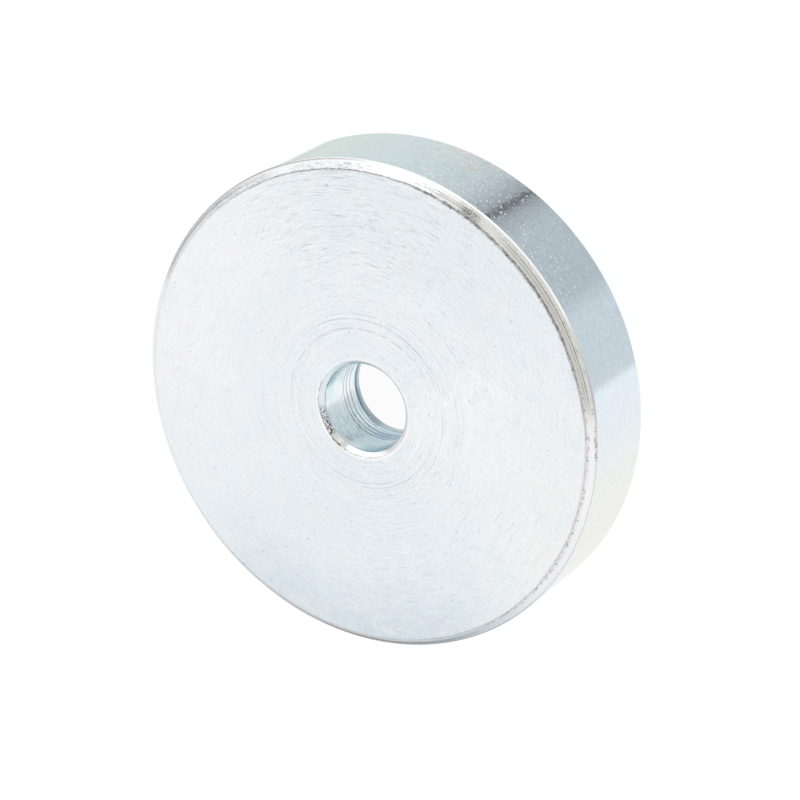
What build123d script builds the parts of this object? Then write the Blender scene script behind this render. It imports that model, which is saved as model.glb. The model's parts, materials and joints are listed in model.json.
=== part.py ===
from build123d import *
import os

# Countersunk pot magnet: a turned, zinc-plated steel pot, the ring magnet that sits in its pocket and the
# ring of resin that fills the gap between them. One hole for a countersunk screw runs through pot and magnet.
#
# Lengths are in millimetres and angles in degrees. The origin is the centre of the holding face, which is the
# ground end of the pot's wall. +Z runs along the screw hole to the closed back of the pot.

# Pot
pot_diameter = 36.0
pot_height = 7.5
wall_thickness = 2.25  # steel around the pocket, and the width of the holding face
back_edge_chamfer = 0.7  # wide, so that the edge lies flush in a corner and does not cut the hand
chamfer_blend_radius = 0.35  # the chamfer rolls into the side, its other edge stays crisp
rim_edge_chamfer = 0.15  # the holding face has edges that are only broken
pocket_corner_radius = 0.4  # left by the round nose of the boring tool

# Screw hole, for an M6 countersunk screw with an 11 mm head
hole_diameter = 6.5
hole_mouth_chamfer = 0.4
countersink_diameter = 11.0  # where the cone meets the magnet's face
countersink_angle = 90.0

# Ring magnet
magnet_thickness = 2.8
magnet_recess = 0.1  # the brittle magnet stays this far behind the holding face
magnet_edge_chamfer = 0.25

# Resin
resin_gap = 0.85  # between magnet and wall, all the way round
resin_recess = 0.1  # from the magnet's broken edge down to where the resin wets the magnet and the wall
resin_sag = 0.15  # how much deeper it lies half-way across the gap

pot_radius = pot_diameter / 2
pocket_radius = pot_radius - wall_thickness
pocket_depth = magnet_recess + magnet_thickness
magnet_radius = pocket_radius - resin_gap
resin_level = magnet_recess + magnet_edge_chamfer + resin_recess

# Pot and magnet take their hole from this one placed tool, so that hole and cone always line up and a
# deeper cone runs on from the magnet into the steel.
screw_entry = Plane(origin=(0, 0, magnet_recess), z_dir=(0, 0, -1))


def cut_screw_hole():
    """The countersunk hole, cut into the part being built from the side where the screw goes in."""
    with Locations(screw_entry):
        CounterSinkHole(
            radius=hole_diameter / 2,
            counter_sink_radius=countersink_diameter / 2,
            counter_sink_angle=countersink_angle,
        )


with BuildPart() as pot:
    with BuildSketch(Plane.XZ) as half_section:
        Rectangle(pot_radius, pot_height, align=(Align.MIN, Align.MIN))
        back_corner = half_section.vertices().group_by(Axis.X)[-1].sort_by(Axis.Y)[-1]
        chamfer(back_corner, back_edge_chamfer)
        chamfer_end = half_section.vertices().group_by(Axis.X)[-1].sort_by(Axis.Y)[-1]
        fillet(chamfer_end, chamfer_blend_radius)
    revolve(axis=Axis.Z)
    with BuildSketch(Plane.XY):
        Circle(pocket_radius)
    extrude(amount=pocket_depth, mode=Mode.SUBTRACT)
    pocket_floor = pot.faces().filter_by(GeomType.PLANE).sort_by(Axis.Z)[1]
    fillet(pocket_floor.outer_wire().edges(), pocket_corner_radius)
    cut_screw_hole()
    back_face = pot.faces().sort_by(Axis.Z)[-1]
    chamfer(back_face.inner_wires()[0].edges(), hole_mouth_chamfer)
    holding_face = pot.faces().sort_by(Axis.Z)[0]
    chamfer(holding_face.edges(), rim_edge_chamfer)
pot.part.label = "pot"

with BuildPart() as ring_magnet:
    with BuildSketch(Plane.XY.offset(magnet_recess)):
        Circle(magnet_radius)
    extrude(amount=magnet_thickness)
    magnet_wall = ring_magnet.faces().filter_by(GeomType.CYLINDER)
    chamfer(magnet_wall.edges().filter_by(GeomType.CIRCLE), magnet_edge_chamfer)
    cut_screw_hole()
ring_magnet.part.label = "ring_magnet"

with BuildPart() as resin_ring:
    with BuildSketch(Plane.XZ):
        with BuildLine():
            magnet_side = Polyline(
                (magnet_radius, resin_level),
                (magnet_radius, pocket_depth - magnet_edge_chamfer),
                (magnet_radius - magnet_edge_chamfer, pocket_depth),
                (pocket_radius - pocket_corner_radius, pocket_depth),
            )
            pocket_corner = RadiusArc(
                magnet_side @ 1,
                (pocket_radius, pocket_depth - pocket_corner_radius),
                pocket_corner_radius,
            )
            pocket_side = Line(pocket_corner @ 1, (pocket_radius, resin_level))
            ThreePointArc(
                pocket_side @ 1,
                (pocket_radius - resin_gap / 2, resin_level + resin_sag),
                magnet_side @ 0,
            )
        make_face()
    revolve(axis=Axis.Z)
resin_ring.part.label = "resin_ring"

os.makedirs("parts", exist_ok=True)
export_step(pot.part, "parts/pot.step")
export_step(ring_magnet.part, "parts/ring_magnet.step")
export_step(resin_ring.part, "parts/resin_ring.step")
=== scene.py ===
"""A countersunk pot magnet, dressed: the turned and zinc-plated pot, its nickel-plated ring magnet, the resin
between them, and the studio and camera that show them. Lengths are in metres unless a name says otherwise."""
import json
import math

import bpy
import numpy as np
from mathutils import Matrix, Vector


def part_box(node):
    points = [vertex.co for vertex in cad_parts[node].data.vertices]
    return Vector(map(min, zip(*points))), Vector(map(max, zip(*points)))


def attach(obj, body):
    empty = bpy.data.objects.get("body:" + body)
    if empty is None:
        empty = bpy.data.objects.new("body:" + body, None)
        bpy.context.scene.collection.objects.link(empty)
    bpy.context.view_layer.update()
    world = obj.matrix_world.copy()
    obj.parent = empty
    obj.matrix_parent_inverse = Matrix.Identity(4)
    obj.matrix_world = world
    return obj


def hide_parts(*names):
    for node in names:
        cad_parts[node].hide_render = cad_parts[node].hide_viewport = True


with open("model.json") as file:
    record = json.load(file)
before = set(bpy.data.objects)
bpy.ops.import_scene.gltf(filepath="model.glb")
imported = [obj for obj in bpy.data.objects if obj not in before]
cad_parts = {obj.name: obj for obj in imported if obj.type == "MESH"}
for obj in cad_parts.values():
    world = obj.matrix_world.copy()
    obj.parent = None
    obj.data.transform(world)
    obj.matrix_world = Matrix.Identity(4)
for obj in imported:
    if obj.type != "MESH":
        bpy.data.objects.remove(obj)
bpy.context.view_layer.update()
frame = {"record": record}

MM = 0.001

# Sizes that the frame gives
pot_low, pot_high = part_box("pot")
magnet_low, magnet_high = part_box("ring_magnet")
resin_low, resin_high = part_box("resin_ring")
mounts = {mount["name"]: mount for mount in frame["record"]["mounts"]}

POT_RADIUS = pot_high.x
POT_HEIGHT = pot_high.z
POCKET_RADIUS = resin_high.x
POCKET_DEPTH = magnet_high.z
MAGNET_RADIUS = magnet_high.x
MAGNET_FACE = magnet_low.z
RESIN_EDGE = resin_low.z
HOLE_RADIUS = mounts["screw_hole"]["dims"]["r_mm"] * MM

# Sizes of the edges, as in the part's source
BACK_CHAMFER = 0.7 * MM
MOUTH_CHAMFER = 0.4 * MM
RIM_CHAMFER = 0.15 * MM
POCKET_CORNER = 0.4 * MM
MAGNET_CHAMFER = 0.25 * MM
COUNTERSINK_RADIUS = 5.5 * MM
RESIN_SAG = 0.15 * MM

# Tool lines of the chamfer: distance from the face's edge, strength, and the middle and half width of the arc
# in degrees from +X towards -Y
EDGE_LINES = (
    (0.25 * MM, 0.45, 62, 5),
    (0.38 * MM, 0.70, 61, 6),
    (0.47 * MM, 0.70, 62, 5),
    (0.60 * MM, 0.70, 61, 5),
    (0.33 * MM, 0.18, 96, 24),
    (0.42 * MM, 0.50, 96, 24),
    (0.59 * MM, 0.80, 96, 24),
)

# Tool rings of the hole: height and mean depth
BORE_RINGS = (
    (4.57 * MM, 0.010 * MM),
    (4.16 * MM, 0.025 * MM),
    (3.66 * MM, 0.030 * MM),
)

# Depth of a tool line of full strength, how wide the grooves are, and the seeds of their unevenness
EDGE_LINE_DEPTH = 0.015 * MM
EDGE_LINE_WIDTH = 0.035 * MM
BORE_RING_WIDTH = 0.06 * MM
EDGE_LINE_SEED = 20
BORE_RING_SEED = 40

# How finely the turned surfaces are divided
SEGMENTS = 360


# ---------------------------------------------------------------------------------------------------------
# Turned surfaces
# ---------------------------------------------------------------------------------------------------------

def section(corners):
    """A closed section as complex numbers, radius + i * height, one for each row of the turned surface.

    Each corner is (radius, height, rounding, arc rows, run rows, crowding, zone), given with the solid on the
    left. The arc at a corner p with directions d0 before and d1 after it turns by a = angle(d1 / d0), starts
    at s = p - d0 * rounding * tan(|a| / 2) and is c + (s - c) * exp(i * a * t) about c = s + i * sign(a) *
    rounding * d0. The run to the next corner has its rows at t - crowding * sin(2 pi t) / (2 pi), which draws
    them towards both ends. Returns the points and, for each row, the zone of the strip that starts there."""
    points = np.array([complex(corner[0], corner[1]) for corner in corners])
    roundings = np.array([corner[2] for corner in corners])
    ahead = np.roll(points, -1) - points
    after = ahead / np.abs(ahead)
    before = np.roll(after, 1)
    turn = np.angle(after / before)
    reach = roundings * np.tan(np.abs(turn) / 2)
    starts = points - before * reach
    ends = points + after * reach
    centres = starts + 1j * np.sign(turn) * roundings * before
    rows = []
    zones = []
    for i, (_, _, _, arc_rows, run_rows, crowding, zone) in enumerate(corners):
        t = np.linspace(0.0, 1.0, arc_rows, endpoint=False)
        rows.append(centres[i] + (starts[i] - centres[i]) * np.exp(1j * turn[i] * t))
        t = np.linspace(0.0, 1.0, run_rows, endpoint=False)
        t = t - crowding * np.sin(2 * np.pi * t) / (2 * np.pi)
        rows.append(ends[i] + (np.roll(starts, -1)[i] - ends[i]) * t)
        zones.append(np.full(arc_rows + run_rows, zone))
    return np.concatenate(rows), np.concatenate(zones)


def wander(turns, waves, seed):
    """An uneven line round the axis: the mean of cos(k * t + phase) over the whole numbers k in waves."""
    phases = np.random.default_rng(seed).uniform(0, 2 * np.pi, len(waves))
    return np.cos(np.outer(turns, waves) + phases).sum(axis=1) / math.sqrt(len(waves))


def revolve(name, outline, zones, relief, finishes):
    """A closed ring: (r cos t, r sin t, h) for each row r + i h of the outline and each turn t.

    relief(outline, turns) gives how far each point stands out along the section's normal, which is -i times
    the unit direction from the row before to the row after. Quads go round the axis first and then along the
    section, so that their faces point out of the solid. zones says which of the finishes each strip has."""
    turns = np.arange(SEGMENTS) * 2 * np.pi / SEGMENTS
    along = np.roll(outline, -1) - np.roll(outline, 1)
    normal = -1j * along / np.abs(along)
    shaped = outline[:, None] + normal[:, None] * relief(outline, turns)
    ring = np.exp(1j * turns)[None, :] * shaped.real
    points = np.stack([ring.real, ring.imag, shaped.imag], axis=-1).reshape(-1, 3)
    row, column = np.meshgrid(np.arange(len(outline)), np.arange(SEGMENTS), indexing="ij")
    next_row = (row + 1) % len(outline)
    next_column = (column + 1) % SEGMENTS
    quads = np.stack(
        [
            row * SEGMENTS + column,
            row * SEGMENTS + next_column,
            next_row * SEGMENTS + next_column,
            next_row * SEGMENTS + column,
        ],
        axis=-1,
    ).reshape(-1, 4)
    mesh = bpy.data.meshes.new(name)
    mesh.from_pydata(points, [], quads)
    mesh.polygons.foreach_set("material_index", np.repeat(zones, SEGMENTS).astype(np.int32))
    mesh.polygons.foreach_set("use_smooth", np.ones(len(quads), bool))
    mesh.update()
    for finish in finishes:
        mesh.materials.append(finish)
    piece = bpy.data.objects.new(name, mesh)
    bpy.context.scene.collection.objects.link(piece)
    return piece


# ---------------------------------------------------------------------------------------------------------
# Shader nodes
# ---------------------------------------------------------------------------------------------------------

def linear(red, green, blue):
    """A colour from screen values, 0 to 255: ((c + 0.055) / 1.055) ** 2.4 above the short straight foot."""
    shares = np.array([red, green, blue]) / 255
    curved = ((shares + 0.055) / 1.055) ** 2.4
    return (*np.where(shares <= 0.04045, shares / 12.92, curved), 1.0)


def grey(level):
    """A neutral colour of this linear level."""
    return (level, level, level, 1.0)


def find(sockets, name):
    """The first socket in use that has this identifier or, failing that, this name; None finds the first."""
    used = [socket for socket in sockets if socket.enabled]
    if name is None:
        return used[0]
    exact = [socket for socket in used if socket.identifier == name]
    named = [socket for socket in used if socket.name == name]
    return (exact + named)[0]


class Graph:
    """A node tree that is being made."""

    def __init__(self, tree):
        self.tree = tree
        tree.nodes.clear()

    def node(self, kind, settings=None, inputs=None, output=None):
        """Adds a node, sets its settings (stops are a ramp's), then its sockets, and returns an output."""
        made = self.tree.nodes.new(kind)
        settings = dict(settings or {})
        stops = settings.pop("stops", None)
        for name, value in settings.items():
            setattr(made, name, value)
        if stops:
            elements = made.color_ramp.elements
            while len(elements) < len(stops):
                elements.new(1.0)
            for element, (position, colour) in zip(elements, stops):
                element.position = position
                element.color = colour
        for name, value in (inputs or {}).items():
            socket = find(made.inputs, name)
            if isinstance(value, Socket):
                self.tree.links.new(value.socket, socket)
            else:
                socket.default_value = value
        return Socket(self, find(made.outputs, output)) if made.outputs else made


class Socket:
    """An output of a node. Sums, differences, products and quotients of it add Math nodes to its graph."""

    def __init__(self, graph, socket):
        self.graph = graph
        self.socket = socket

    def math(self, operation, *others):
        return calculate(self.graph, operation, self, *others)

    def at_most(self, limit):
        return self.math("MINIMUM", limit)

    def at_least(self, limit):
        return self.math("MAXIMUM", limit)

    def __add__(self, other):
        return self.math("ADD", other)

    def __sub__(self, other):
        return self.math("SUBTRACT", other)

    def __rsub__(self, other):
        return calculate(self.graph, "SUBTRACT", other, self)

    def __mul__(self, other):
        return self.math("MULTIPLY", other)

    def __truediv__(self, other):
        return self.math("DIVIDE", other)

    def __neg__(self):
        return self.math("MULTIPLY", -1.0)

    __radd__ = __add__
    __rmul__ = __mul__


def calculate(graph, operation, *values):
    """One Math node on one or two sockets or numbers."""
    inputs = dict(zip(("Value", "Value_001"), values))
    return graph.node("ShaderNodeMath", {"operation": operation}, inputs)


def smooth(value, low, high):
    """0 below low, 1 above high and a soft step between them; low above high turns it round."""
    inputs = {"Value": value, "From Min": low, "From Max": high}
    return value.graph.node("ShaderNodeMapRange", {"interpolation_type": "SMOOTHSTEP"}, inputs)


def stripe(distance, edge, core):
    """1 where the distance is within core of 0, falling softly to 0 at edge, on both sides."""
    return smooth(distance.math("ABSOLUTE"), edge, core)


def mixed(factor, first, second):
    """The first colour where factor is 0 and the second where it is 1."""
    inputs = {"Factor": factor, "A": first, "B": second}
    return factor.graph.node("ShaderNodeMix", {"data_type": "RGBA"}, inputs)


def coated(colour, *coats):
    """A colour under further coats, each a mask and the colour that shows where the mask is 1."""
    for mask, coat in coats:
        colour = mixed(mask, colour, coat)
    return colour


def dimmed(colour, share):
    """A colour times a number."""
    vector = colour if isinstance(colour, Socket) else colour[:3]
    inputs = {"Vector": vector, "Scale": share}
    return share.graph.node("ShaderNodeVectorMath", {"operation": "SCALE"}, inputs)


# Detail and roughness of the noise, by what it draws
SMOOTH = (1.0, 0.5)
SOFT = (2.0, 0.5)
STREAKY = (2.0, 0.6)
GRITTY = (2.0, 0.7)
CLOUDY = (3.0, 0.6)
RAGGED = (3.0, 0.75)
CRUMBLED = (4.0, 0.75)


def noise(vector, kind=SOFT):
    """Noise from 0 to 1 with features about one unit of the vector across."""
    detail, roughness = kind
    inputs = {"Vector": vector, "Scale": 1.0, "Detail": detail, "Roughness": roughness}
    return vector.graph.node("ShaderNodeTexNoise", None, inputs)


def swing(vector, kind=SOFT):
    """The same noise from -0.5 to 0.5."""
    return noise(vector, kind) - 0.5


def cells(vector):
    """Distance to the nearest of the points that are scattered about one unit apart."""
    inputs = {"Vector": vector, "Scale": 1.0, "Randomness": 1.0}
    return vector.graph.node("ShaderNodeTexVoronoi", None, inputs)


class Place:
    """Where a point of a turned surface is, in millimetres, and its direction from the axis."""

    def __init__(self, graph):
        object_place = graph.node("ShaderNodeTexCoord", output="Object")
        scale = {"Vector": object_place, "Scale": 1 / MM}
        self.graph = graph
        self.vector = graph.node("ShaderNodeVectorMath", {"operation": "SCALE"}, scale)
        self.x = graph.node("ShaderNodeSeparateXYZ", None, {"Vector": self.vector}, "X")
        self.y = graph.node("ShaderNodeSeparateXYZ", None, {"Vector": self.vector}, "Y")
        self.height = graph.node("ShaderNodeSeparateXYZ", None, {"Vector": self.vector}, "Z")
        self.radius = (self.x * self.x + self.y * self.y).math("SQRT")
        self.east = self.x / self.radius
        self.north = self.y / self.radius

    def streaks(self, distance, length, width, offset=0.0):
        """A vector for streaks round the axis: direction / length, in radians, and distance / width.

        An offset gives another pattern."""
        inputs = {
            "X": self.east * (1 / length) + offset,
            "Y": self.north * (1 / length),
            "Z": distance / width,
        }
        return self.graph.node("ShaderNodeCombineXYZ", None, inputs)

    def grains(self, size, offset=0.0):
        """A vector for grains of this size in millimetres. An offset gives another pattern."""
        inputs = {"Vector": self.vector, "Vector_001": (1 / size,) * 3, "Vector_002": (offset,) * 3}
        return self.graph.node("ShaderNodeVectorMath", {"operation": "MULTIPLY_ADD"}, inputs)

    def facing(self, degrees):
        """The cosine of the angle between the point's direction and one at degrees from +X towards -Y."""
        angle = math.radians(degrees)
        return self.east * math.cos(angle) - self.north * math.sin(angle)

    def sector(self, degrees, half_width, full=0.0):
        """1 up to full degrees to either side of this direction, falling to 0 at half_width."""
        return smooth(self.facing(degrees), math.cos(math.radians(half_width)), math.cos(math.radians(full)))


def new_finish(name):
    """An empty material and the place of its points."""
    material = bpy.data.materials.new(name)
    material.use_nodes = True
    graph = Graph(material.node_tree)
    return material, Place(graph)


def bump(height, depth, strength=1.0):
    """The normal over a height from 0 to 1 that stands for this depth in metres."""
    inputs = {"Height": height, "Distance": depth, "Strength": strength}
    return height.graph.node("ShaderNodeBump", None, inputs)


def surface(graph, inputs):
    """The shader with these sockets, linked to the material's output."""
    shader = graph.node("ShaderNodeBsdfPrincipled", None, inputs)
    graph.node("ShaderNodeOutputMaterial", None, {"Surface": shader})


# ---------------------------------------------------------------------------------------------------------
# Zinc plating
# ---------------------------------------------------------------------------------------------------------

# The plating's colours, which the passivation shifts from place to place; some of them are painted shade,
# painted light or painted glints, as their uses say
BLUE_ZINC = linear(221, 230, 236)
COOL_ZINC = linear(236, 240, 244)
PALE_ZINC = linear(243, 243, 245)
WHITE_ZINC = linear(250, 250, 251)
GREEN_ZINC = linear(220, 242, 233)
CREAM_ZINC = linear(241, 241, 235)
GREY_ZINC = linear(241, 241, 241)
ICY_ZINC_PAINTED_LIGHT = linear(247, 252, 255)
DEEP_BLUE_ZINC = linear(206, 222, 232)
SHADED_ZINC = linear(206, 217, 223)
SCUFFED_ZINC = linear(224, 217, 215)
SPOT_ZINC = linear(180, 188, 196)
MOTTLE_COOL = linear(229, 239, 242)
MOTTLE_WARM = linear(242, 239, 242)
PATCH_COOL = linear(225, 237, 241)
PATCH_WARM = linear(243, 242, 239)
MOUTH_COOL_PAINTED_LIGHT = linear(239, 249, 252)
MOUTH_BLUE = linear(196, 218, 226)
MOUTH_SHADED = linear(150, 178, 195)
SIDE_ZINC = linear(222, 238, 242)
SIDE_BLUE = linear(222, 237, 247)
SIDE_PALE = linear(231, 239, 246)
SIDE_WARM = linear(240, 234, 230)
BORE_ZINC = linear(211, 232, 241)
BORE_LIGHT = linear(226, 240, 246)
BORE_PAINTED_LIGHT = linear(241, 249, 252)
BORE_SHADE_BLUE = linear(198, 219, 228)
BORE_SHADE_GREEN = linear(168, 208, 210)
BORE_SHADE_TEAL = linear(170, 208, 215)
BORE_SHADE_DEEP = linear(160, 186, 208)
RIM_COOL = linear(226, 234, 239)
RIM_WARM = linear(232, 236, 236)
PIT_GLINT = linear(248, 252, 255)
STAIN = linear(255, 222, 184)
BURR = linear(112, 105, 100)
SCORE = linear(88, 86, 86)

# How far light streaks may lift the plating's colour on broad faces and on chamfers
FACE_LIFT = 1.06
CHAMFER_LIFT = 1.04

FACE_EDGE = (POT_RADIUS - BACK_CHAMFER) / MM
MOUTH_EDGE = (HOLE_RADIUS + MOUTH_CHAMFER) / MM

# Clear tool rings of the back face: radius, strength, and the middle and half width of the arc in degrees
TOOL_RINGS = (
    (5.15, 0.12, 300, 60),
    (5.55, 0.18, 225, 60),
    (5.78, 0.14, 285, 50),
    (5.84, 0.24, 350, 40),
    (5.84, 0.18, 180, 60),
    (5.96, 0.30, 45, 65),
    (6.40, 0.12, 130, 60),
    (6.66, 0.32, 50, 70),
    (7.04, 0.24, 42, 50),
    (7.60, 0.12, 100, 60),
    (8.20, 0.10, 30, 50),
    (9.03, 0.16, 88, 22),
)


def burr(place, distance):
    """The ragged dark seam where the turned face breaks off into the chamfer, heaviest on one side."""
    flaw = swing(place.streaks(distance, 0.014, 0.30), RAGGED)
    drift = swing(place.streaks(distance, 0.15, 9.0, 2.0))
    gap = swing(place.streaks(distance, 0.030, 0.5, 5.0), RAGGED)
    heavy = place.sector(85, 42)
    thin = place.sector(32, 42)
    offset = distance - 0.06 + drift * 0.12 + flaw * (0.35 - thin * 0.12)
    line = stripe(offset, heavy * 0.10 + 0.11, 0.02)
    strength = heavy * 0.60 + thin * 0.50
    strength = strength + place.sector(258, 36) * 0.26 + place.sector(150, 40) * 0.12 + 0.18
    return (line * strength * (1.0 + gap * (3.0 - thin))).at_least(0.0)


def back_face_tint(place, drift):
    """The back face's colour, from bluish to neutral and cream, with soft patches and a fine mottle. The pale
    and bluish sectors are partly the plating's tint and partly a painted highlight, the turned face's bow-tie
    sheen.
    """
    outer = smooth(place.radius + drift * 4.0, 9.5, 13.0)
    rim = smooth(place.radius + drift * 4.0, 11.0, 15.5)
    border = smooth(place.radius, 14.0, 17.0)
    mottle = noise(place.grains(0.6), CLOUDY)
    patches = noise(place.grains(2.0, 17.0), CLOUDY)
    return coated(
        COOL_ZINC,
        # Pale and bluish sectors on opposite sides: partly tint, partly the turned face's bow-tie sheen as a
        # painted highlight
        (place.sector(222, 58) * (0.35 + rim * 0.65), BLUE_ZINC),
        (place.sector(45, 70) * outer * 0.4, BLUE_ZINC),
        (place.sector(125, 36) * (1.0 - rim) * 0.9, PALE_ZINC),
        (place.sector(147, 34) * rim * 0.9, GREY_ZINC),
        (place.sector(335, 52) * outer, PALE_ZINC),
        (place.sector(220, 46) * border * 0.6, SHADED_ZINC),
        (smooth(mottle, 0.50, 0.35) * 0.4, MOTTLE_COOL),
        (smooth(mottle, 0.58, 0.70) * 0.30, MOTTLE_WARM),
        (smooth(patches, 0.48, 0.64) * 0.22, PATCH_WARM),
        (smooth(patches, 0.50, 0.36) * 0.22, PATCH_COOL),
    )


def tool_rings(place, drift):
    """The strength of the clear tool rings at a point, each on its own arc and broken up along it."""
    clear = 0.0
    for radius, strength, degrees, half_width in TOOL_RINGS:
        ring = stripe(place.radius - radius + drift * 0.04, 0.07, 0.015)
        clear = clear + ring * place.sector(degrees, half_width) * strength
    broken = noise(place.streaks(place.radius, 0.15, 0.30, 4.0), STREAKY)
    return clear * smooth(broken, 0.30, 0.58) * 0.95


def back_face_zinc():
    """Fine turning dashes and a few clear tool rings under a plating that shades from bluish to neutral."""
    material, place = new_finish("zinc_back_face")
    drift = swing(place.grains(3.0, 12.0))
    tint = back_face_tint(place, drift)
    crowd = smooth(noise(place.streaks(place.radius, 0.14, 3.0, 9.0), STREAKY), 0.25, 0.58)
    busy = place.sector(36, 44, 8) * smooth(place.radius, 7.0, 12.5) * 1.2 + place.sector(95, 40) * 0.4
    busy = busy + place.sector(185, 50) * 0.35 + smooth(place.radius, 8.0, 5.5) * 0.2
    dark_dash = noise(place.streaks(place.radius, 0.09, 0.046), STREAKY)
    light_dash = noise(place.streaks(place.radius, 0.09, 0.046, 6.0), STREAKY)
    dashes = smooth(light_dash, 0.51, 0.67) * 0.6 - smooth(dark_dash, 0.54, 0.70)
    grain = swing(place.grains(0.17, 9.0), GRITTY)
    rings = swing(place.streaks(place.radius, 0.8, 0.08, 7.0), CLOUDY)
    near_hole = smooth(place.radius, 11.0, 6.5) * 0.8 + 0.2
    clear = tool_rings(place, drift)
    specks = smooth(cells(place.grains(1.0, 2.0)) + grain * 0.3, 0.10, 0.04)
    shade = 1.0 + dashes * (busy * crowd + 0.20) * 0.31 + grain * 0.28 + rings * near_hole * 0.30
    shade = (shade - clear - specks * 0.2).at_most(FACE_LIFT)
    seam = burr(place, place.radius - FACE_EDGE)
    surface(place.graph, {
        "Base Color": mixed(seam * 0.8, dimmed(tint, shade), BURR),
        "Metallic": 1.0,
        "Roughness": 0.34,
        "Normal": bump(dashes * 0.5 + rings * 0.5 - clear, 0.006 * MM),
    })
    return material


def edge_lines(place, down, flaw):
    """The strength of the chamfer's dark tool lines at a point, each on its own arc."""
    lines = 0.0
    for distance, strength, degrees, half_width in EDGE_LINES:
        line = stripe(down - distance / MM + flaw * 0.03, 0.040, 0.010)
        lines = lines + line * place.sector(degrees, half_width, half_width * 0.7) * strength
    return lines


def edge_seams_and_shadow(place, down, flaw, gap, scuffed):
    """The dark of the chamfer's ragged seams: the burr, broken dashes, nicks and the line along the side, and
    a painted shadow band on one arc.
    """
    dashes = stripe(down - 0.80 + flaw * 0.4, 0.12, 0.03) * place.sector(124, 9)
    nicks = stripe(down - 0.24 + flaw * 0.9, 0.09, 0.02) * scuffed
    ragged = stripe(down - 0.75 + flaw * 0.5, 0.05, 0.01) * place.sector(88, 32, 22)
    broken = dashes * smooth(gap, -0.08, 0.08) * 0.7
    broken = broken + nicks * smooth(gap, -0.01, 0.08) * 0.75 + ragged * smooth(gap, -0.02, 0.08) * 0.55
    arcs = place.sector(20, 22) * 0.55 + place.sector(140, 40) * 0.25 + place.sector(188, 24) * 0.45
    outline = stripe(down - 0.89 + flaw * 0.10, 0.08, 0.02) * arcs
    # Painted shadow: a soft dark band across the chamfer on one arc
    shadow = stripe(down - 0.62 + flaw * 0.1, 0.16, 0.04) * place.sector(212, 22) * 0.25
    return burr(place, down) + broken + outline + shadow


def edge_zinc():
    """The wide chamfer: bright, with dark tool lines, a speckled patch where they end, ragged seams with a
    painted shadow band, and a painted edge to its bright reflected band.
    """
    material, place = new_finish("zinc_edge")
    down = (place.radius - FACE_EDGE) * math.sqrt(2)
    streak = swing(place.streaks(down, 0.2, 0.05), STREAKY)
    grit = swing(place.grains(0.11), GRITTY)
    flaw = swing(place.streaks(down, 0.014, 0.30), RAGGED)
    gap = swing(place.streaks(down, 0.020, 0.5, 5.0), RAGGED)
    blot = noise(place.streaks(down, 0.026, 0.13, 3.0), RAGGED)
    # The colour step at the ragged edge of this inner zone is a painted edge to the bright reflected band
    # along the side; the same mask also steps the bump
    inside = smooth(down + flaw * 0.5, 0.82, 0.76)
    scuffed = place.sector(150, 42, 28)
    spotted = place.sector(30, 13, 4) + place.sector(55, 5) + place.sector(4, 14) * 0.9
    spots = smooth(blot, 0.45, 0.64) * spotted * smooth(down, 0.75, 0.6)
    tint = coated(
        PALE_ZINC,
        (place.sector(47, 26), WHITE_ZINC),
        # The cream is the chamfer's tint; it thins outside the inner zone, so the outer band is whiter:
        # painted highlight
        (place.sector(92, 38) * (inside * 0.4 + 0.6), CREAM_ZINC),
        (place.sector(183, 46) * 0.5, BLUE_ZINC),
        (place.sector(187, 18) * inside * 0.6, DEEP_BLUE_ZINC),
        (scuffed * smooth(down - flaw * 0.8, 0.36, 0.22) * 0.7, SCUFFED_ZINC),
        (spots * 0.9, SPOT_ZINC),
    )
    patch = place.sector(66.5, 3.0, 1.0) * stripe(down - 0.44, 0.34, 0.16)
    rough = patch * smooth(grit, -0.05, 0.04) * 0.70
    scores = (edge_lines(place, down, flaw) * (1.0 + gap * 1.5) + rough).at_most(1.0)
    seam = edge_seams_and_shadow(place, down, flaw, gap, scuffed)
    shade = 1.0 + streak * (place.sector(92, 30, 20) * 0.3 + 0.16) + grit * 0.10
    colour = mixed(scores, dimmed(tint, shade.at_most(CHAMFER_LIFT)), SCORE)
    surface(place.graph, {
        # The seams' dark, with the painted shadow band among them, is mixed towards the burr's colour
        "Base Color": mixed(seam, colour, BURR),
        "Metallic": 1.0,
        "Roughness": 0.08 + seam * 0.3 + rough * 0.2,
        "Normal": bump(streak * 0.6 + grit * (0.35 + seam * 2.0) - inside * 1.2, 0.010 * MM),
    })
    return material


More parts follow.
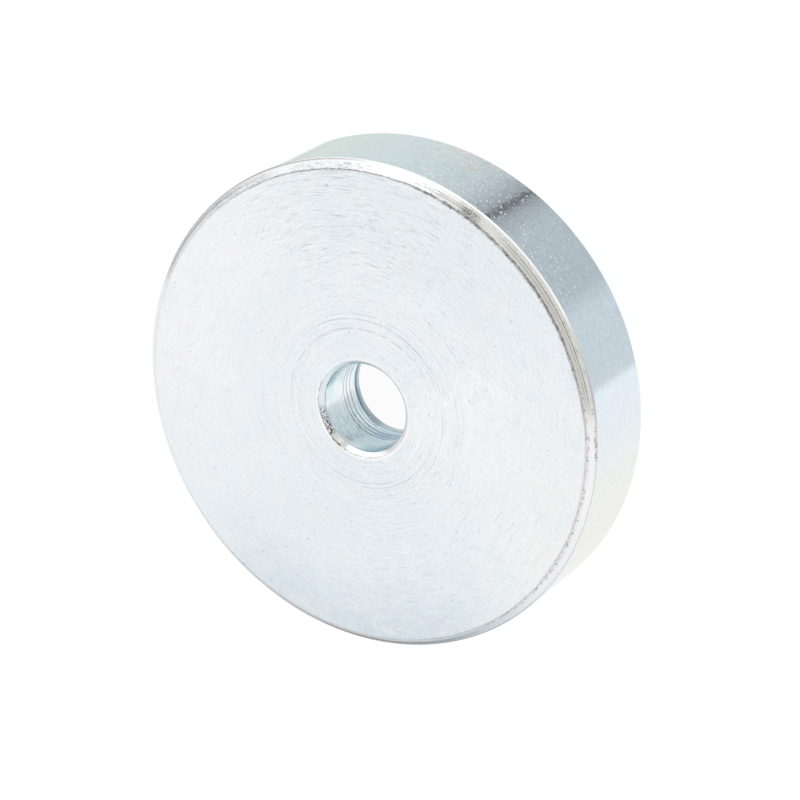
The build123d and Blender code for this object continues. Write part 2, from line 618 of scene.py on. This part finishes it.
def mouth_zinc():
    """The chamfer of the hole's mouth: bright, with a rough dark patch and a thin seam along its rim. Two
    arcs are painted lighter, and one side has painted shade along its inner edge.
    """
    material, place = new_finish("zinc_mouth")
    down = (MOUTH_EDGE - place.radius) * math.sqrt(2)
    grit = swing(place.grains(0.13, 4.0), GRITTY)
    streak = swing(place.streaks(down, 0.3, 0.08))
    flaw = swing(place.streaks(down, 0.05, 0.3), RAGGED)
    gap = swing(place.streaks(down, 0.12, 0.4, 5.0), CRUMBLED)
    tint = coated(
        WHITE_ZINC,
        (place.sector(254, 16), CREAM_ZINC),
        # Painted light: these two arcs are lightened so that they read as light as the face where they mirror
        # the dark part of the studio
        (place.sector(322, 50, 20), ICY_ZINC_PAINTED_LIGHT),
        (place.sector(358, 24), MOUTH_COOL_PAINTED_LIGHT),
        (place.sector(38, 30) * smooth(down, 0.12, 0.34), MOUTH_BLUE),
        # Painted shade along the inner edge on this side
        (place.sector(90, 80, 50) * smooth(down, 0.44, 0.54), MOUTH_SHADED),
    )
    patch = place.sector(274, 12) + place.sector(288, 16) * 0.6
    rough = patch * smooth(grit, -0.03, 0.03) * smooth(down, 0.04, 0.10) * 1.3
    thick = place.sector(255, 16, 6)
    seam = stripe(down - 0.05 + flaw * 0.28, thick * 0.04 + 0.08, 0.01) * smooth(gap, -0.16, 0.10)
    seam = seam * (thick * 0.9 + place.sector(222, 42) * 0.55 + place.sector(318, 30) * 0.45)
    dirt = (rough + seam).at_most(1.0)
    shade = 1.0 + streak * (place.sector(345, 60) * 0.3 + 0.2)
    shade = (shade + grit * (place.sector(345, 70, 20) * 0.3 + 0.1)).at_most(CHAMFER_LIFT)
    surface(place.graph, {
        "Base Color": mixed(dirt, dimmed(tint, shade), SCORE),
        "Metallic": 1.0,
        "Roughness": 0.60 - place.sector(232, 62, 36) * 0.48 + dirt * 0.2,
        "Normal": bump(streak * 0.8 + grit * (0.4 + dirt * 1.5), 0.012 * MM),
    })
    return material


def side_tint(place, cloud):
    """The side's colour: bluish, green at one end and cream at the other, with a warm cloud and a stain."""
    low = smooth(place.height, 4.0, 1.5)
    stain = smooth(place.facing(56.2), math.cos(0.014), math.cos(0.003))
    stain = stain * stripe(place.height - 2.6, 0.22, 0.05)
    return coated(
        SIDE_ZINC,
        (place.sector(92, 40), SIDE_BLUE),
        (place.sector(125, 16), SIDE_PALE),
        (place.sector(14, 26), GREEN_ZINC),
        (place.sector(156, 34), CREAM_ZINC),
        (place.sector(53, 10) * low * smooth(cloud, -0.1, 0.1) * 0.7, SIDE_WARM),
        (stain * 0.8, STAIN),
    )


def side_zinc():
    """The cylindrical side: smooth as a mirror, with fine turning and small rough pits in the plating, whose
    whitened colour is a painted glint, and a faint painted shadow beside some of them.
    """
    material, place = new_finish("zinc_side")
    turning = swing(place.streaks(place.height, 0.010, 0.09), CLOUDY)
    cloud = swing(place.grains(0.7, 8.0), CLOUDY)
    peel = swing(place.grains(0.32, 11.0), SMOOTH)
    tint = side_tint(place, cloud)
    high = smooth(place.height, 2.5, 5.5)
    near = place.sector(61, 15, 8) * (high * 0.18 + 0.20)
    far = place.sector(76, 24, 8) * (high * 0.26 + 0.04)
    pitted = near.at_least(far) + place.sector(70, 48, 10) * 0.05
    crowd = smooth(noise(place.grains(0.9, 5.0), STREAKY) + pitted, 0.58, 0.74)
    large = smooth(cells(place.grains(0.42)) + peel * 0.2, 0.26, 0.12)
    small = smooth(cells(place.grains(0.27, 3.0)), 0.30, 0.12) * 0.6
    pits = ((large + small) * crowd).at_most(1.0)
    # Painted shadow beside the pits on one arc
    shadow = smooth(cells(place.grains(0.42, 0.1)), 0.40, 0.22) * crowd * place.sector(66, 14)
    uneven = (cloud * 0.10 + peel * 0.20) * (place.sector(62, 60, 20) * 0.9 + 0.7)
    shade = 1.0 + turning * 0.25 + uneven - shadow * 0.10
    surface(place.graph, {
        # The pits are whitened in the colour as painted glints; their roughness and bump are the real pits
        "Base Color": mixed(pits * 0.7, dimmed(tint, shade), PIT_GLINT),
        "Metallic": 1.0,
        "Roughness": 0.03 + pits * 0.35,
        "Normal": bump(turning * 0.12 + cloud * 0.18 + peel * 0.20 + pits * 0.3, 0.02 * MM),
    })
    return material


def bore_zinc():
    """The wall of the hole: bored, with level tool rings drawn as painted shade and highlight, thin bluish
    plating, painted shade under the mouth and in bands, a painted lighter patch, and soft uneven streaks.
    """
    material, place = new_finish("zinc_bore")
    rings = swing(place.streaks(place.height, 0.5, 0.12), CLOUDY)
    cloud = swing(place.grains(0.6, 6.0), CLOUDY)
    ripple = swing(place.streaks(place.height, 0.10, 0.12, 3.0))
    wavy = place.sector(256, 28) * stripe(place.height - 4.8, 1.6, 0.5)
    under = smooth(place.height + cloud, 5.8, 6.6)
    tint = coated(
        BORE_ZINC,
        (smooth(cloud, -0.15, 0.15), BORE_LIGHT),
        # Painted light: a lighter patch on one arc, strongest lower down
        (place.sector(304, 30) * (smooth(place.height, 6.8, 5.2) * 0.5 + 0.4), BORE_PAINTED_LIGHT),
        # Painted shade: a darker band on one arc, where the wall mirrors the dark part of the studio
        (place.sector(228, 34) * stripe(place.height - 5.3, 1.7, 0.7) * 0.9, BORE_SHADE_BLUE),
        # Painted shade just under the mouth, on two arcs
        (place.sector(338, 20) * under, BORE_SHADE_GREEN),
        (place.sector(205, 30) * under, BORE_SHADE_TEAL),
        # Painted shade: a deeper band on one arc
        (place.sector(214, 34) * stripe(place.height - 3.95, 1.0, 0.3) * 0.9, BORE_SHADE_DEEP),
    )
    # Each tool ring is drawn as a painted dark line with a painted highlight just below it, the shade and
    # light of the groove's two walls
    dark = 0.0
    bright = 0.0
    for height, _ in BORE_RINGS:
        above = place.height - height / MM
        dark = dark + stripe(above, 0.10, 0.02)
        bright = bright + stripe(above + 0.17, 0.10, 0.02)
    shade = 1.0 + rings * 0.40 + cloud * 0.15 + ripple * (0.12 + wavy) - dark * 0.45 + bright * 0.22
    surface(place.graph, {
        "Base Color": dimmed(tint, shade.at_most(FACE_LIFT)),
        "Metallic": 1.0,
        "Roughness": 0.16,
        "Normal": bump(rings * 0.5 + cloud * 0.9 + ripple * (0.4 + wavy), 0.03 * MM),
    })
    return material


def rim_zinc():
    """The holding face and the pocket: flat turned steel under the same plating."""
    material, place = new_finish("zinc_holding_face")
    rings = swing(place.streaks(place.radius - place.height, 0.5, 0.06), CLOUDY)
    grain = swing(place.grains(0.13), GRITTY)
    cloud = smooth(noise(place.grains(3.0)), 0.4, 0.7)
    tint = mixed(cloud, RIM_COOL, RIM_WARM)
    surface(place.graph, {
        "Base Color": dimmed(tint, 1.0 + rings * 0.4 + grain * 0.15),
        "Metallic": 1.0,
        "Roughness": 0.3 + rings * 0.15,
        "Normal": bump(rings, 0.008 * MM),
    })
    return material


# ---------------------------------------------------------------------------------------------------------
# Magnet and resin
# ---------------------------------------------------------------------------------------------------------

NICKEL = linear(216, 215, 211)
NICKEL_GREY = linear(206, 207, 206)
HOLE_NICKEL = linear(196, 212, 220)
JOINT_NICKEL = linear(140, 168, 180)
RESIN = linear(24, 24, 26)
DUST = linear(70, 70, 72)


def nickel():
    """Nickel plating over a sintered ring: warm grey, satin, with the sinter's fine grain."""
    material, place = new_finish("nickel_plating")
    grain = noise(place.grains(0.12), CLOUDY)
    cloud = noise(place.grains(3.0))
    tint = mixed(smooth(cloud, 0.35, 0.7), NICKEL, NICKEL_GREY)
    surface(place.graph, {
        "Base Color": dimmed(tint, 0.94 + grain * 0.12),
        "Metallic": 1.0,
        "Roughness": 0.24 + grain * 0.12,
        "Normal": bump(grain, 0.003 * MM),
    })
    return material


def nickel_in_hole():
    """The magnet's own short stretch of hole: dull plating, darkest next to the joint with the pot."""
    material, place = new_finish("nickel_in_hole")
    rings = swing(place.streaks(place.height, 0.3, 0.08))
    joint_height = POCKET_DEPTH / MM
    joint = smooth(place.height, joint_height - 0.45, joint_height - 0.1) * place.sector(295, 70)
    tint = mixed(joint, HOLE_NICKEL, JOINT_NICKEL)
    surface(place.graph, {
        "Base Color": dimmed(tint, 1.0 + rings * 0.5),
        "Metallic": 1.0,
        "Roughness": 0.25,
        "Normal": bump(rings, 0.01 * MM),
    })
    return material


def resin():
    """Cured black resin, glossy, with a faint ripple and dust."""
    material, place = new_finish("potting_resin")
    ripple = noise(place.grains(1.4))
    dust = smooth(noise(place.grains(0.15)), 0.62, 0.75)
    surface(place.graph, {
        "Base Color": mixed(dust * 0.4, RESIN, DUST),
        "Roughness": 0.16 + dust * 0.3,
        "Normal": bump(ripple, 0.03 * MM),
    })
    return material


# ---------------------------------------------------------------------------------------------------------
# The three pieces
# ---------------------------------------------------------------------------------------------------------

def groove(distance, place, width):
    """A round-bottomed groove of depth 1: -exp(-((distance - place) / width) ** 2)."""
    return -np.exp(-(((distance - place) / width) ** 2))


def pot_relief(outline, turns):
    """Tool lines on the chamfer and rings in the bore, each a groove whose depth wanders round the axis."""
    radius = outline.real
    height = outline.imag
    relief = np.zeros((len(outline), len(turns)))
    down_chamfer = (radius - (POT_RADIUS - BACK_CHAMFER)) * math.sqrt(2)
    on_chamfer = (radius > POT_RADIUS - BACK_CHAMFER) & (height > POT_HEIGHT - BACK_CHAMFER)
    for i, (line, strength, degrees, half_width) in enumerate(EDGE_LINES):
        apart = np.abs(np.angle(np.exp(1j * (turns + math.radians(degrees))))) / math.radians(half_width)
        uneven = 1.0 + 0.4 * wander(turns, np.arange(1, 9), EDGE_LINE_SEED + i)
        depth = np.clip(1.0 - apart, 0.0, 1.0) * uneven * strength * EDGE_LINE_DEPTH
        relief += np.outer(np.where(on_chamfer, groove(down_chamfer, line, EDGE_LINE_WIDTH), 0.0), depth)
    in_bore = (radius < HOLE_RADIUS + 0.01 * MM) & (height < POT_HEIGHT - MOUTH_CHAMFER)
    for i, (ring, deepest) in enumerate(BORE_RINGS):
        depth = (1.0 + 0.3 * wander(turns, np.arange(1, 6), BORE_RING_SEED + i)) * deepest
        relief += np.outer(np.where(in_bore, groove(height, ring, BORE_RING_WIDTH), 0.0), depth)
    return relief


def smooth_relief(outline, turns):
    """No relief at all."""
    return np.zeros((len(outline), len(turns)))


def dressed_pot():
    """The turned pot: pocket, holding face, side, wide chamfer, back face and the straight part of the hole.

    The chamfer bulges a little between its ends, where a blend rolls it into the side."""
    rim, side, edge, face, mouth_edge, bore = range(6)
    outer = POT_RADIUS
    top = POT_HEIGHT
    mouth = HOLE_RADIUS + MOUTH_CHAMFER
    corners = (
        (HOLE_RADIUS, POCKET_DEPTH, 0.12 * MM, 4, 6, 0.6, rim),
        (POCKET_RADIUS, POCKET_DEPTH, POCKET_CORNER, 6, 5, 0.5, rim),
        (POCKET_RADIUS, RIM_CHAMFER, 0.05 * MM, 3, 1, 0.0, rim),
        (POCKET_RADIUS + RIM_CHAMFER, 0.0, 0.05 * MM, 3, 8, 0.8, rim),
        (outer - RIM_CHAMFER, 0.0, 0.05 * MM, 3, 2, 0.0, rim),
        (outer, RIM_CHAMFER, 0.08 * MM, 4, 20, 0.8, side),
        (outer, top - 0.93 * BACK_CHAMFER, 0.32 * MM, 10, 8, 0.0, edge),
        (outer - 0.60 * BACK_CHAMFER, top - 0.34 * BACK_CHAMFER, 0.5 * MM, 6, 10, 0.0, edge),
        (outer - BACK_CHAMFER, top, 0.16 * MM, 6, 90, 0.8, face),
        (mouth, top, 0.30 * MM, 8, 6, 0.0, mouth_edge),
        (HOLE_RADIUS, top - MOUTH_CHAMFER, 0.12 * MM, 6, 50, 0.2, bore),
    )
    outline, zones = section(corners)
    finishes = (rim_zinc(), side_zinc(), edge_zinc(), back_face_zinc(), mouth_zinc(), bore_zinc())
    return revolve("dressed_pot", outline, zones, pot_relief, finishes)


def dressed_magnet():
    """The ring magnet: a flat ring with broken edges and the cone for the screw's head."""
    cone_depth = COUNTERSINK_RADIUS - HOLE_RADIUS
    corners = (
        (COUNTERSINK_RADIUS, MAGNET_FACE, 0.08 * MM, 4, 20, 0.7, 0),
        (MAGNET_RADIUS - MAGNET_CHAMFER, MAGNET_FACE, 0.1 * MM, 4, 3, 0.0, 0),
        (MAGNET_RADIUS, MAGNET_FACE + MAGNET_CHAMFER, 0.1 * MM, 4, 6, 0.5, 0),
        (MAGNET_RADIUS, POCKET_DEPTH - MAGNET_CHAMFER, 0.1 * MM, 4, 3, 0.0, 0),
        (MAGNET_RADIUS - MAGNET_CHAMFER, POCKET_DEPTH, 0.1 * MM, 4, 8, 0.6, 0),
        (HOLE_RADIUS, POCKET_DEPTH, 0.08 * MM, 4, 4, 0.3, 1),
        (HOLE_RADIUS, MAGNET_FACE + cone_depth, 0.08 * MM, 4, 16, 0.6, 0),
    )
    outline, zones = section(corners)
    return revolve("dressed_magnet", outline, zones, smooth_relief, (nickel(), nickel_in_hole()))


def dressed_resin():
    """The resin: it fills the gap, and its free surface hangs in a shallow hollow between the two walls."""
    middle = (POCKET_RADIUS + MAGNET_RADIUS) / 2
    corners = (
        (MAGNET_RADIUS, RESIN_EDGE, 0.0, 1, 6, 0.0, 0),
        (middle, RESIN_EDGE + RESIN_SAG, 0.9 * MM, 12, 6, 0.0, 0),
        (POCKET_RADIUS, RESIN_EDGE, 0.0, 1, 6, 0.0, 0),
        (POCKET_RADIUS, POCKET_DEPTH, POCKET_CORNER, 6, 3, 0.0, 0),
        (MAGNET_RADIUS - MAGNET_CHAMFER, POCKET_DEPTH, 0.0, 1, 3, 0.0, 0),
        (MAGNET_RADIUS, POCKET_DEPTH - MAGNET_CHAMFER, 0.0, 1, 6, 0.0, 0),
    )
    outline, zones = section(corners)
    return revolve("dressed_resin", outline, zones, smooth_relief, (resin(),))


for piece, node, slot in (
    (dressed_pot(), "pot", "zinc_plated_steel"),
    (dressed_magnet(), "ring_magnet", "nickel_plating"),
    (dressed_resin(), "resin_ring", "potting_resin"),
):
    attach(piece, "root")
    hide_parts(node)


# ---------------------------------------------------------------------------------------------------------
# Floor, studio and camera
# ---------------------------------------------------------------------------------------------------------

FLOOR_HALF = 3.0
FLOOR_GAP = 0.01 * MM
FLOOR_GLOW = 0.93
FLOOR_GREY = 0.09


def make_floor():
    """A square of plain white just under the part: it glows for the camera and takes a faint soft shadow."""
    corners = [(-1, -1), (1, -1), (1, 1), (-1, 1)]
    level = pot_low.z - FLOOR_GAP
    mesh = bpy.data.meshes.new("floor")
    mesh.from_pydata([(x * FLOOR_HALF, y * FLOOR_HALF, level) for x, y in corners], [], [(0, 1, 2, 3)])
    material = bpy.data.materials.new("white_floor")
    material.use_nodes = True
    graph = Graph(material.node_tree)
    glow = graph.node("ShaderNodeEmission", None, {"Color": grey(1.0), "Strength": FLOOR_GLOW})
    matt = graph.node("ShaderNodeBsdfDiffuse", None, {"Color": grey(FLOOR_GREY)})
    both = graph.node("ShaderNodeAddShader", None, {"Shader": glow, "Shader_001": matt})
    seen = graph.node("ShaderNodeLightPath", None, None, "Is Camera Ray")
    shader = graph.node("ShaderNodeMixShader", None, {"Fac": seen, "Shader": matt, "Shader_001": both})
    graph.node("ShaderNodeOutputMaterial", None, {"Surface": shader})
    mesh.materials.append(material)
    floor = bpy.data.objects.new("floor", mesh)
    floor.visible_glossy = False
    bpy.context.scene.collection.objects.link(floor)


# Tones of the studio by azimuth, in degrees from -Y towards +X, in belts one above the other
LOWER_TONES = (
    (-180, 0.93), (-125, 0.94), (-105, 0.97), (-52.8, 0.98), (-52.2, 0.75), (-18, 0.75), (-6, 0.58),
    (28, 0.61), (36, 0.51), (42.8, 0.37), (43.4, 0.13), (45.8, 0.13), (46.3, 0.42), (51, 0.50),
    (60, 0.66), (82, 0.77), (110, 0.80), (142, 0.79), (150, 0.74), (156, 0.74), (158, 1.05), (180, 1.05),
)
LEVEL_TONES = (
    (-180, 0.86), (-177, 0.76), (-173, 0.68), (-169, 0.65), (-163, 0.75), (-151, 0.84), (-126, 0.90),
    (-112, 1.02), (-88, 1.02), (-52, 0.95), (-49, 0.66), (-30, 0.64), (-16, 0.80), (-10, 1.10),
    (60, 1.10), (84, 1.06), (90, 0.95), (97, 1.06), (108, 1.06), (116, 0.96), (180, 0.95),
)
UPPER_TONES = (
    (-180, 1.0), (-60, 1.0), (-50, 0.95), (-49, 0.75), (-20, 0.71), (0, 0.73), (20, 0.72),
    (27, 0.88), (36, 0.88), (38, 0.55), (42, 0.55), (46, 0.98), (54, 1.12), (62, 1.14), (100, 1.04),
    (130, 1.0), (180, 1.0),
)

# The same for what lies beyond the table
BEYOND_TONES = (
    (-180, 0.88), (-173, 0.68), (-169, 0.39), (-163, 0.28), (-155, 0.26), (-147, 0.32), (-138, 0.47),
    (-128, 0.85), (-110, 1.0), (110, 1.05), (120, 0.75), (128, 0.52), (137, 0.45), (150.5, 0.45),
    (152, 0.92), (180, 0.85),
)

# Where one part of the studio gives way to the next: degrees above the horizon, and from the camera
LOWER_TO_LEVEL = (-49.5, -47.0)
LEVEL_TO_UPPER = (8.0, 14.0)
UPPER_TO_ROOF = (50.0, 60.0)
ROOF_TONE = 1.0
CAMERA_SPOT = (11.0, 7.0)
CAMERA_SPOT_TONE = 0.4
TABLE_CORNER_SLOPE = 0.72
TABLE_CORNER_DROP = (0.57, 0.65)


def make_studio():
    """A white tent whose front half is darker where the camera and its stand are.

    The light from a direction is looked up by azimuth in belts that blend into each other with the height
    above the horizon. Straight above them it is white, and round the camera it is dark. The table ends in a
    blunt corner behind the part, and what lies beyond it is seen where z is below slope * |x| - drop."""
    world = bpy.data.worlds.new("studio")
    bpy.context.scene.world = world
    world.use_nodes = True
    graph = Graph(world.node_tree)
    direction = graph.node("ShaderNodeTexCoord", output="Generated")
    x = graph.node("ShaderNodeSeparateXYZ", None, {"Vector": direction}, "X")
    y = graph.node("ShaderNodeSeparateXYZ", None, {"Vector": direction}, "Y")
    z = graph.node("ShaderNodeSeparateXYZ", None, {"Vector": direction}, "Z")
    azimuth = calculate(graph, "ARCTAN2", x, -y) / (2 * math.pi) + 0.5
    elevation = z.math("ARCSINE") * math.degrees(1.0)

    def belt(tones):
        stops = [(degrees / 360 + 0.5, grey(level)) for degrees, level in tones]
        return graph.node("ShaderNodeValToRGB", {"stops": stops}, {"Fac": azimuth})

    beyond = smooth(x.math("ABSOLUTE") * TABLE_CORNER_SLOPE - z, *TABLE_CORNER_DROP) * smooth(y, 0.0, 0.3)
    to_camera = {"Vector": direction, "Vector_001": camera_direction}
    near_camera = graph.node("ShaderNodeVectorMath", {"operation": "DOT_PRODUCT"}, to_camera, "Value")
    spot_edge, spot_core = np.cos(np.radians(CAMERA_SPOT)).tolist()
    tone = coated(
        belt(LOWER_TONES),
        (smooth(elevation, *LOWER_TO_LEVEL), mixed(beyond, belt(LEVEL_TONES), belt(BEYOND_TONES))),
        (smooth(elevation, *LEVEL_TO_UPPER), belt(UPPER_TONES)),
        (smooth(elevation, *UPPER_TO_ROOF), grey(ROOF_TONE)),
        (smooth(near_camera, spot_edge, spot_core), grey(CAMERA_SPOT_TONE)),
    )
    seen = graph.node("ShaderNodeLightPath", None, None, "Is Camera Ray")
    light = graph.node("ShaderNodeBackground", None, {"Color": mixed(seen, tone, grey(1.0))})
    graph.node("ShaderNodeOutputWorld", None, {"Surface": light})


CAMERA_ELEVATION = math.radians(54.2546)
CAMERA_ROLL = math.radians(122.7744)
CAMERA_DISTANCE = 221.34 * MM
CAMERA_AIM = Vector((-0.8615, -0.3125, 3.5240)) * MM
CAMERA_LENS_MM = 140.548
CAMERA_SENSOR_MM = 36.0
camera_direction = Vector((0.0, -math.cos(CAMERA_ELEVATION), math.sin(CAMERA_ELEVATION)))


def make_camera():
    """Looks along +Y and down on the back of the pot, turned about its own axis so that +X points up left."""
    data = bpy.data.cameras.new("camera")
    data.sensor_width = CAMERA_SENSOR_MM
    data.lens = CAMERA_LENS_MM
    data.clip_start = 10 * MM
    data.clip_end = 10.0
    level_right = Vector((1.0, 0.0, 0.0))
    level_up = camera_direction.cross(level_right)
    up = level_up * math.cos(CAMERA_ROLL) + level_right * math.sin(CAMERA_ROLL)
    right = up.cross(camera_direction)
    camera = bpy.data.objects.new("camera", data)
    turned = Matrix((right, up, camera_direction)).transposed().to_4x4()
    camera.matrix_world = Matrix.Translation(CAMERA_AIM + camera_direction * CAMERA_DISTANCE) @ turned
    bpy.context.scene.collection.objects.link(camera)
    bpy.context.scene.camera = camera


make_floor()
make_studio()
make_camera()
bpy.context.scene.view_settings.view_transform = "Standard"
